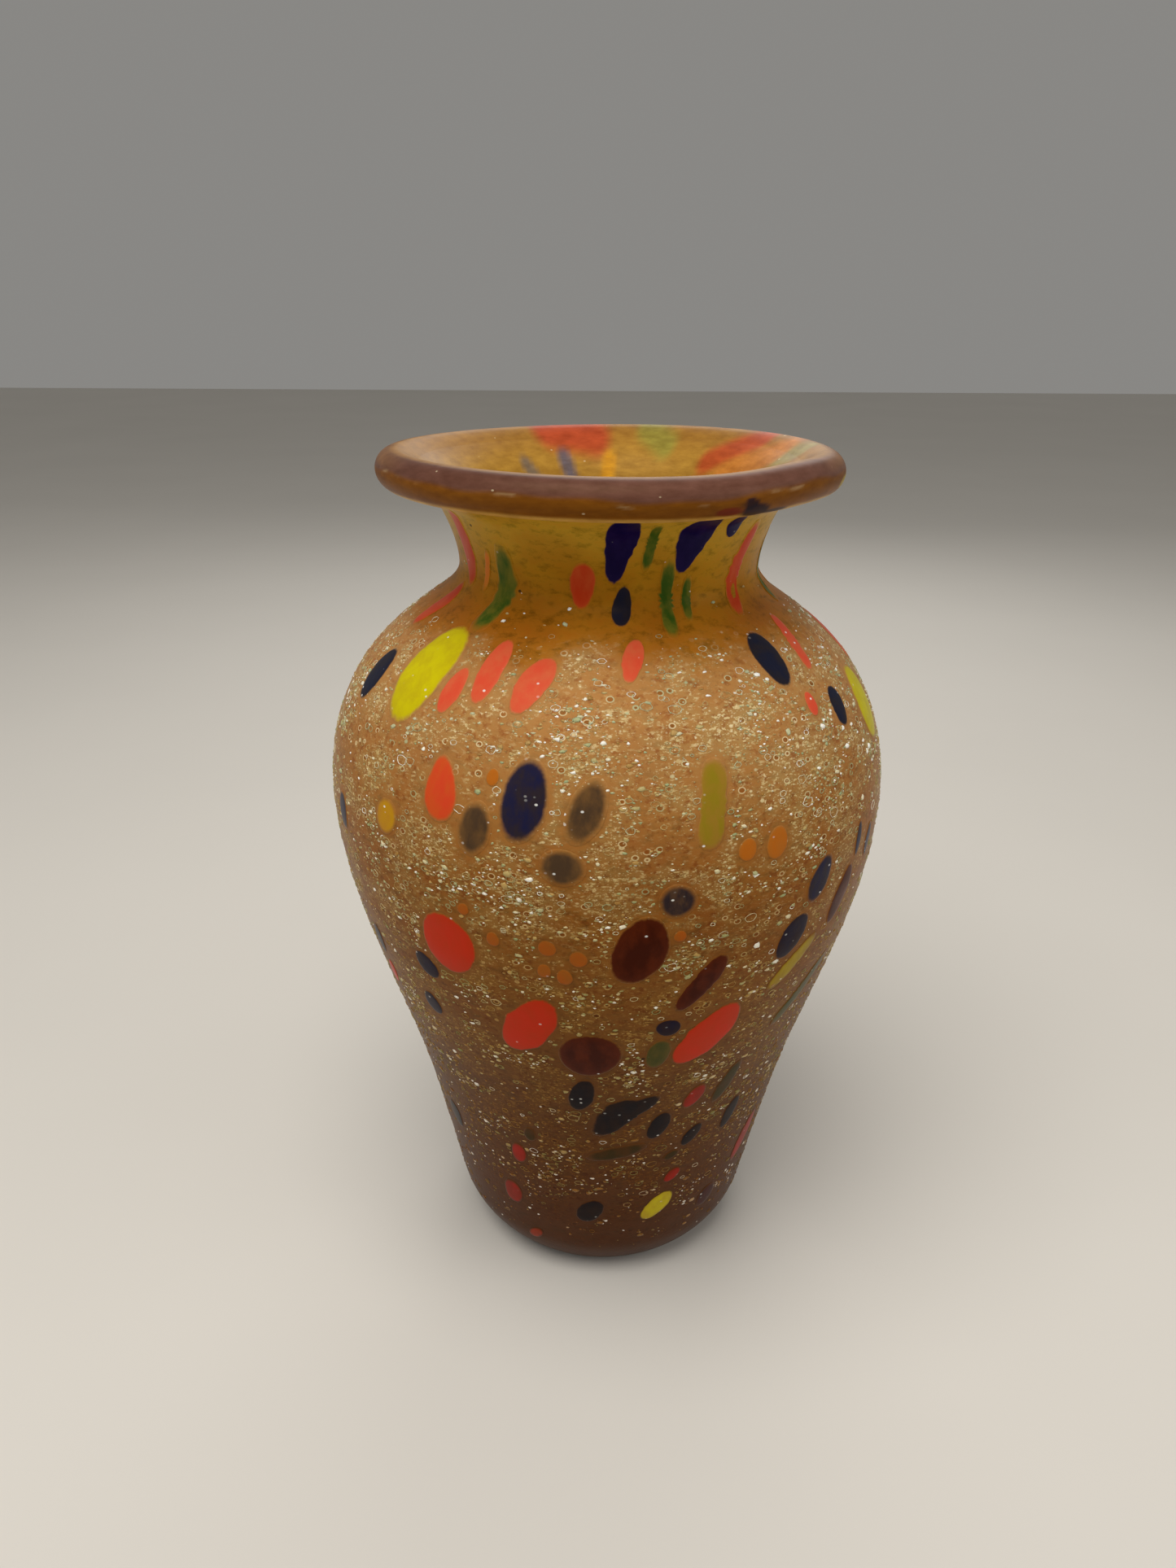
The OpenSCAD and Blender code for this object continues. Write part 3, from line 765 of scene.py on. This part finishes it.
# Rings of a chip from its edge in: [share of the outline, lift off the wall in mm, inset]
CHIP_RINGS = [
    (0.86, CHIP_BACK, 0.0), (1.00, -0.40, 0.0), (1.01, -0.06, 0.0), (0.985, 0.05, 0.04), (0.94, 0.09, 0.10),
    (0.88, 0.12, 0.18), (0.78, 0.15, 0.32), (0.62, 0.17, 0.55), (0.42, CHIP_TOP, 0.8), (0.2, CHIP_TOP, 1.0),
]


def chip_mesh(chips):
    """A closed, slightly domed solid for each chip, laid on the uneven wall."""
    points, faces, inset = [], [], []
    angles = np.linspace(0, 2 * np.pi, OUTLINE_STEPS, endpoint=False)
    for chip in chips:
        start = sum(len(block) for block in points)
        for share, lift, value in CHIP_RINGS + [(0.0, CHIP_TOP, 1.0), (0.0, CHIP_BACK, 0.0)]:
            x = share * chip.reach * np.cos(angles)
            y = share * chip.reach * np.sin(angles)
            if share == 0:
                x, y = x[:1], y[:1]
            z = height_at(np.clip(chip.along + y, ALONG[0], ALONG[-1]))
            points.append(on_wall(chip.azimuth + x / chip.radius, z, lift * MM))
            inset += [value] * len(x)
        for row in range(len(CHIP_RINGS) - 1):
            for j in range(OUTLINE_STEPS):
                k = (j + 1) % OUTLINE_STEPS
                low = start + row * OUTLINE_STEPS
                high = low + OUTLINE_STEPS
                faces.append((low + j, low + k, high + k, high + j))
        top = start + len(CHIP_RINGS) * OUTLINE_STEPS
        high = top - OUTLINE_STEPS
        for j in range(OUTLINE_STEPS):
            k = (j + 1) % OUTLINE_STEPS
            faces.append((high + j, high + k, top))
            faces.append((start + k, start + j, top + 1))
    return np.concatenate(points), faces, inset


def add_chips():
    """One piece for each of the frame's nodes of chips."""
    slots = {row["node"]: row["material_slot"] for row in frame["record"]["subparts"]}
    for name in CHIP_NODES:
        mine = [chip for chip in CHIPS if chip.node == name]
        points, faces, inset = chip_mesh(mine)
        middle, rim, soft = mine[0].look()
        material = chip_material(name.replace("_chips_", "_glass_"), middle, rim, soft)
        piece = add_piece(name + "_inlay", points, faces, material, slots[name], name)
        set_values(piece, "inset", inset)


# ---------------------------------------------------------------- body of the vase

SKIN_COLUMNS = 400
SKIN_ROWS = 226
SKIN_BACK_STEP = 8  # the skin's back has one row for this many on its face
FRIT_DEPTH = 1.3 * MM
CLEAR_ROUND_CHIPS = (0.1 * MM, 1.7 * MM)
GATHER_COLUMNS = 240
GATHER_ROWS = 150
SEAM_ROWS = 60
LAYER_GAP = 0.15 * MM
# The ground hollow under the foot: [depth, radius] in mm, and the flat ring round it
DISH = [(1.0, 0.0), (0.93, 4.5), (0.7, 8.0), (0.35, 11.0), (0.0, 13.0)]
RING_EDGE = 0.9
RING_INNER = 2.4


def inset_line(line, depth):
    """The line, moved inwards by a depth along its normal."""
    slope = np.gradient(line[:, 1], line[:, 0])
    size = np.sqrt(1 + slope**2)
    return np.stack([line[:, 0] + depth * slope / size, line[:, 1] - depth / size], 1)


def add_skin():
    """The speckled outer layer, clear round every chip."""
    outside = smooth_line(OUTER, SKIN_ROWS)
    back = inset_line(outside, FRIT_DEPTH)[::-1][1:-1:SKIN_BACK_STEP]
    profile = np.concatenate([outside, back])
    azimuth, z, points, faces = spin(profile, SKIN_COLUMNS, True)
    along = along_at(z)
    clear = np.zeros(len(z))
    for chip in CHIPS:
        gap = chip.distance(azimuth, along)
        clear = np.maximum(clear, 1 - ease(gap, *CLEAR_ROUND_CHIPS))
    clear[SKIN_ROWS * SKIN_COLUMNS:] = 1
    piece = add_piece("blown_amber_skin", points, faces, ground_material(), "frit_glass", "frit_layer")
    set_values(piece, "clear", clear)


def blend(a, b, share):
    """Colours a turned towards b, each by its own share."""
    share = np.asarray(share)[..., None]
    return a * (1 - share) + np.asarray(b) * share


def add_hollow():
    """The inner gather: the wall of the hollow, with the chips showing through it, and the foot."""
    foot_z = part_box("inner_gather")[0][2]
    foot_r = OUTER[0, 1]
    wall = smooth_line(HOLLOW, GATHER_ROWS)
    wall[0, 1] = 0
    under = [(foot_z + depth * MM, r * MM) for depth, r in DISH]
    under.append((foot_z, foot_r - RING_INNER * MM))
    under.append((foot_z, foot_r - RING_EDGE * MM))
    under.append((foot_z + 0.8 * MM, foot_r - RING_EDGE * MM))
    seam = inset_line(smooth_line(OUTER, SEAM_ROWS)[2:], FRIT_DEPTH + LAYER_GAP)
    tip = [(HEIGHT - 1.5 * LIP_R, LIP_MID), (HEIGHT - LIP_R, LIP_MID - 0.3 * LIP_R)]
    wall = wall[wall[:, 1] < LIP_MID - 0.6 * LIP_R]
    profile = np.concatenate([under, seam, tip, wall[::-1]])
    azimuth, z, points, faces = spin(profile, GATHER_COLUMNS, False)
    nearest = [np.argmin(((OUTER - spot) ** 2).sum(1)) for spot in profile[1:-1]]
    along = np.repeat(ALONG[nearest], GATHER_COLUMNS)
    level = z / HEIGHT
    # Painted light through the glass, brighter towards the mouth
    colour = lit_inside_colour(azimuth, z)
    for chip in CHIPS:
        gap = chip.distance(azimuth, along)
        share = 0.75 * (1 - ease(gap, -1.6 * MM, 1.6 * MM)) * (level < 0.925)
        colour = blend(colour, chip.look()[0], share)
    # Darker at the foot and at the two axis points: partly the thick glass's deep brown, partly painted
    # shade low down
    colour = blend(colour, srgb(70, 30, 12), ease(level, 0.05, 0.0))
    poles = np.tile(srgb(78, 34, 14), (2, 1))
    material = painted_material("clear_amber_glass", "through", 0.36)
    piece = add_piece("amber_gather", points, faces, material, "amber_glass", "inner_gather")
    set_colours(piece, "through", np.concatenate([colour, poles]))


LIP_COLUMNS = 320
LIP_ROWS = 44
# Colour patches on the lip, in degrees: [azimuth, angle round the roll, width, height, colour]
LIP_PATCHES = [
    (32, -42, 4.0, 28, srgb(20, 14, 36)),
    (30, -16, 2.0, 20, srgb(24, 16, 36)),
    (25, -34, 3.5, 16, srgb(112, 34, 18)),
    (38, -54, 4.5, 12, srgb(26, 18, 38)),
    (74, -20, 7, 24, srgb(170, 148, 58)),
]
# Colours that show through the flare inside: [from azimuth, height] to the same, width, colour,
# with azimuths in degrees and heights as shares of the vase's
FLARE_PATCHES = [
    ((-160, 0.996), (-176, 0.986), 5.5, srgb(186, 66, 40)),
    ((166, 0.996), (158, 0.98), 4.0, srgb(146, 140, 58)),
    ((138, 0.966), (122, 0.995), 4.0, srgb(184, 70, 38)),
    ((118, 0.965), (96, 0.992), 3.5, srgb(150, 140, 84)),
    ((128, 0.95), (108, 0.985), 5.0, srgb(206, 128, 54)),
    ((-146, 0.962), (-149, 0.945), 2.6, srgb(120, 108, 96)),
    ((-163, 0.966), (-165, 0.94), 3.0, srgb(92, 92, 112)),
    ((179, 0.962), (180, 0.94), 3.0, srgb(226, 160, 26)),
]
FLARE_ARC = 0.8  # mm along the flare for one degree of azimuth


def flare_colour(azimuth, z, colour):
    """Lays the blurred patches of the flare over a colour."""
    tall = HEIGHT / MM
    for start, end, wide, paint in FLARE_PATCHES:
        turn = np.degrees(between(azimuth, math.radians(start[0])))
        run = np.array([(end[0] - start[0]) * FLARE_ARC, (end[1] - start[1]) * tall])
        away = np.stack([turn * FLARE_ARC, (z / HEIGHT - start[1]) * tall], -1)
        share = np.clip(away @ run / (run @ run), 0, 1)
        gap = np.hypot(away[..., 0] - share * run[0], away[..., 1] - share * run[1])
        colour = blend(colour, paint, 0.85 * (1 - ease(gap, 0.35 * wide, 1.1 * wide)))
    return colour


def lit_inside_colour(azimuth, z):
    """Amber of the hollow's wall with painted light and shade: dark deep down, brighter towards the mouth
    where light shines through the glass, brown again at the lip.
    """
    level = z / HEIGHT
    colour = blend(np.tile(srgb(100, 50, 16), (len(z), 1)), srgb(158, 104, 38), ease(level, 0.3, 0.85))
    colour = blend(colour, srgb(180, 136, 54), ease(level, 0.88, 0.95))
    colour = blend(colour, srgb(158, 112, 42), ease(level, 0.965, 0.995))
    return flare_colour(azimuth, z, colour)


def lip_profile():
    """The lip's outline as a loop: up round the roll, down the flare inside, and back to the join."""
    centre_z = HEIGHT - LIP_R
    angles = np.radians(np.linspace(-128, 88, LIP_ROWS))
    roll = np.stack([centre_z + LIP_R * np.sin(angles), LIP_MID + LIP_R * np.cos(angles)], 1)
    flare = smooth_line(HOLLOW, 400)[::-1]
    flare = flare[(flare[:, 0] > centre_z - 1.5 * MM) & (flare[:, 1] < LIP_MID - 0.1 * MM)][::3]
    share = np.linspace(0, 1, len(flare))[:, None]
    lifted = flare + (0.06 - 0.5 * share**4) * MM * [0.6, -0.8]
    join = OUTER[-1]
    inside = [(join[0] - 0.6 * MM, join[1] - 1.2 * MM)]
    return np.concatenate([[join - [0.3 * MM, 0.0]], roll, lifted, inside])


def lip_colour(azimuth, angle):
    """Amber under the roll, with a painted highlight low down where it meets the neck; mauve brown over it,
    a painted satin sheen on the brown glass, darker on the left with painted shade; pale streaks where they
    meet.
    """
    swirl = 6 * np.sin(3 * azimuth + 1) + 4 * np.sin(7 * azimuth) + 3 * np.sin(19 * azimuth)
    # Pale amber low on the roll, where it meets the neck: a painted highlight
    amber = np.tile(srgb(206, 164, 84), (len(angle), 1))
    colour = blend(amber, srgb(124, 74, 16), ease(angle, -60, -40))
    # Mauve brown over the roll: a painted satin sheen over the brown glass
    colour = blend(colour, srgb(108, 72, 60), ease(angle + swirl, 4, 20))
    # Painted shade: the mauve face darker on the front left
    darker = ease(np.cos(azimuth + 0.9), 0.4, 1.0) * ease(angle, 10, 30)
    colour = blend(colour, srgb(90, 56, 44), 0.5 * darker)
    # Less painted sheen at the sides, where the lip shows amber brown
    sides = ease(np.abs(np.sin(azimuth)), 0.8, 1.0) * ease(angle, 10, 40)
    colour = blend(colour, srgb(140, 98, 52), 0.6 * sides)
    pale = ease(np.sin(11 * azimuth) + np.sin(17 * azimuth + 2) + np.sin(43 * azimuth), 0.7, 2.2)
    pale = pale * ease(np.abs(angle + 1.5 * swirl - 4), 6, 1)
    return blend(colour, srgb(180, 152, 112), 0.5 * pale)


def add_lip():
    """The rolled lip: mauve brown on its face as a painted sheen, amber brown under it, amber on its inner
    edge with painted light through the glass.
    """
    profile = lip_profile()
    azimuth, z, points, faces = spin(profile, LIP_COLUMNS, True)
    radius = np.repeat(profile[:, 1], LIP_COLUMNS)
    angle = np.degrees(np.arctan2(z - HEIGHT + LIP_R, radius - LIP_MID))
    colour = lip_colour(azimuth, angle)
    colour = blend(colour, lit_inside_colour(azimuth, z), ease(angle, 74, 100))
    for around, up, wide, tall, paint in LIP_PATCHES:
        turn = np.degrees(between(azimuth, math.radians(around)))
        gap = np.hypot(turn / wide, (angle - up) / tall)
        colour = blend(colour, paint, 0.9 * (1 - ease(gap, 0.75, 1.1)))
    material = painted_material("brown_lip_glass", "roll", 0.4)
    piece = add_piece("rolled_lip", points, faces, material, "lip_glass", "lip_bead")
    set_colours(piece, "roll", colour)


# ---------------------------------------------------------------- crushed glass

CRUMB_TRIES = 78000
CRUMB_SIDES = 6
CRUMB_SIZE = (-1.08, 0.5)  # middle and spread of the size's logarithm, in mm
# Share of crumbs made white: partly white frit, partly painted sparkle highlights
WHITE_AND_SPARKLE_SHARE = 0.09
BUBBLE_TRIES = 6000
BUBBLE_STEPS = 12
BUBBLE_SIDES = 4
BUBBLE_SIZE = (-0.55, 0.38)
BUBBLE_THICK = 0.09 * MM
CLUMPS_ACROSS = 75  # clumps in a metre, which makes them a little wider than they are tall
CLUMPS_UP = 105
LOWEST_CRUMB = 0.012  # metres up
FRIT_FADE = (0.845, 0.815)  # shares of the height between which the crumbs thicken, from above
NECK_SHARE = 0.04
FOOT_FADE = (0.03, 0.25)
FOOT_SHARE = 0.15
LACE = (0.8, 0.28)  # azimuth and share of the height of the closer crumbs low on the right
LACE_REACH = (0.45, 0.16)
CHIP_MARGIN = 0.5 * MM
ON_CHIP_SHARE = 0.04


def scatter(count, least):
    """Seeded places on the wall where crumbs lie: in clumps, off the chips, few on the neck."""
    along = rng.uniform(along_at(LOWEST_CRUMB), along_at(0.9 * HEIGHT), count)
    azimuth = rng.uniform(-math.pi, math.pi, count)
    z = height_at(along)
    radius = radius_at(z)
    keep = rng.random(count) < radius / OUTER[:, 1].max()
    level = z / HEIGHT
    band = NECK_SHARE + (1 - NECK_SHARE) * ease(level, *FRIT_FADE)
    band = band * (FOOT_SHARE + (1 - FOOT_SHARE) * ease(level, *FOOT_FADE))
    around = (azimuth - LACE[0]) / LACE_REACH[0]
    up = (level - LACE[1]) / LACE_REACH[1]
    least = least + (0.6 - least) * np.exp(-(around**2) - up**2)
    cloud = np.empty(count)
    for i in range(count):
        x = radius[i] * math.sin(azimuth[i])
        y = radius[i] * math.cos(azimuth[i])
        cloud[i] = noise.fractal((CLUMPS_ACROSS * x, CLUMPS_ACROSS * y, CLUMPS_UP * z[i]), 0.8, 2.2, 3)
    keep &= rng.random(count) < band * (least + (1 - least) * ease(cloud, -0.05, 0.45))
    for chip in CHIPS:
        keep &= (chip.distance(azimuth, along) > CHIP_MARGIN) | (rng.random(count) < ON_CHIP_SHARE)
    return azimuth[keep], along[keep], cloud[keep]


def wall_patch(azimuth, along, x, y, lift):
    """Points round each place, offset by x and y over the wall."""
    z = height_at(along[:, None] + y)
    return on_wall(azimuth[:, None] + x / radius_at(z), z, lift)


def repeated(pattern, count, each):
    """The faces of one small form, repeated for every copy of it."""
    return [tuple(corner + i * each for corner in face) for i in range(count) for face in pattern]


def crumb_faces():
    """Faces of one crumb: a rim, an inner ring, the top point and the point underneath."""
    top = 2 * CRUMB_SIDES
    pattern = []
    for j in range(CRUMB_SIDES):
        k = (j + 1) % CRUMB_SIDES
        pattern.append((j, k, CRUMB_SIDES + k, CRUMB_SIDES + j))
        pattern.append((CRUMB_SIDES + j, CRUMB_SIDES + k, top))
        pattern.append((k, j, top + 1))
    return pattern


def add_crumbs():
    """Crushed glass crumbs: small flat broken flakes, wider than they are tall."""
    azimuth, along, cloud = scatter(CRUMB_TRIES, 0.14)
    count = len(azimuth)
    size = np.clip(rng.lognormal(*CRUMB_SIZE, count), 0.12, 1.1) * MM
    tall = size * rng.uniform(0.4, 0.8, count)
    angle = np.linspace(0, 2 * np.pi, CRUMB_SIDES, endpoint=False) + rng.uniform(0, 1, (count, 1))
    jag = rng.uniform(0.5, 1.2, (count, CRUMB_SIDES))
    x = size[:, None] * np.cos(angle) * jag
    y = tall[:, None] * np.sin(angle) * jag
    lift = size[:, None]
    middle = np.zeros((count, 1))
    rim = wall_patch(azimuth, along, x, y, -0.02 * MM)
    inner = wall_patch(azimuth, along, x * 0.55, y * 0.55, 0.05 * MM + 0.12 * lift)
    top = wall_patch(azimuth, along, middle, middle, 0.06 * MM + 0.13 * lift)
    under = wall_patch(azimuth, along, middle, middle, -0.25 * MM)
    points = np.concatenate([rim, inner, top, under], 1)
    each = points.shape[1]
    faces = repeated(crumb_faces(), count, each)
    piece = add_piece("frit_crumbs", points.reshape(-1, 3), faces, crumb_material(), "frit_glass")
    tone = rng.random(count) ** 1.3 * 0.85 + 0.15 * ease(cloud, 0.0, 0.6)
    tone = np.where(rng.random(count) < WHITE_AND_SPARKLE_SHARE, 1.0, tone)
    set_values(piece, "tone", np.repeat(tone, each))


def ring_faces():
    """Faces of one thin ring with BUBBLE_SIDES sides to its section."""
    pattern = []
    for a in range(BUBBLE_STEPS):
        near = a * BUBBLE_SIDES
        far = (a + 1) % BUBBLE_STEPS * BUBBLE_SIDES
        for b in range(BUBBLE_SIDES):
            c = (b + 1) % BUBBLE_SIDES
            pattern.append((near + b, far + b, far + c, near + c))
    return pattern


def add_seed_bubbles():
    """Open bubbles at the face of the glass, each a thin pale ring, broken and uneven."""
    azimuth, along, cloud = scatter(BUBBLE_TRIES, 0.35)
    count = len(azimuth)
    size = np.clip(rng.lognormal(*BUBBLE_SIZE, count), 0.3, 1.2) * MM
    turn = np.linspace(0, 2 * np.pi, BUBBLE_STEPS, endpoint=False)
    size = size[:, None] * rng.uniform(0.84, 1.12, (count, BUBBLE_STEPS))
    thick = BUBBLE_THICK * rng.uniform(0.4, 1.2, (count, BUBBLE_STEPS))
    blocks = []
    for side in np.linspace(0, 2 * np.pi, BUBBLE_SIDES, endpoint=False):
        reach = size + thick * math.cos(side)
        lift = 0.02 * MM + thick * math.sin(side)
        x = reach * np.cos(turn) * 1.15
        y = reach * np.sin(turn) * 0.85
        blocks.append(wall_patch(azimuth, along, x, y, lift))
    points = np.stack(blocks, 2).reshape(-1, 3)
    each = BUBBLE_STEPS * BUBBLE_SIDES
    faces = repeated(ring_faces(), count, each)
    piece = add_piece("seed_bubbles", points, faces, crumb_material(), "frit_glass")
    set_values(piece, "tone", np.repeat(rng.uniform(0.15, 0.92, count), each))


FLOOR_SIZE = 6.0


def add_floor():
    mesh = bpy.data.meshes.new("floor")
    half = FLOOR_SIZE / 2
    corners = [(-half, -half, 0), (half, -half, 0), (half, half, 0), (-half, half, 0)]
    mesh.from_pydata(corners, [], [(0, 1, 2, 3)])
    mesh.materials.append(floor_material())
    floor = bpy.data.objects.new("floor", mesh)
    bpy.context.collection.objects.link(floor)


add_camera()
add_lights()
add_floor()
add_skin()
add_hollow()
add_lip()
add_chips()
add_crumbs()
add_seed_bubbles()
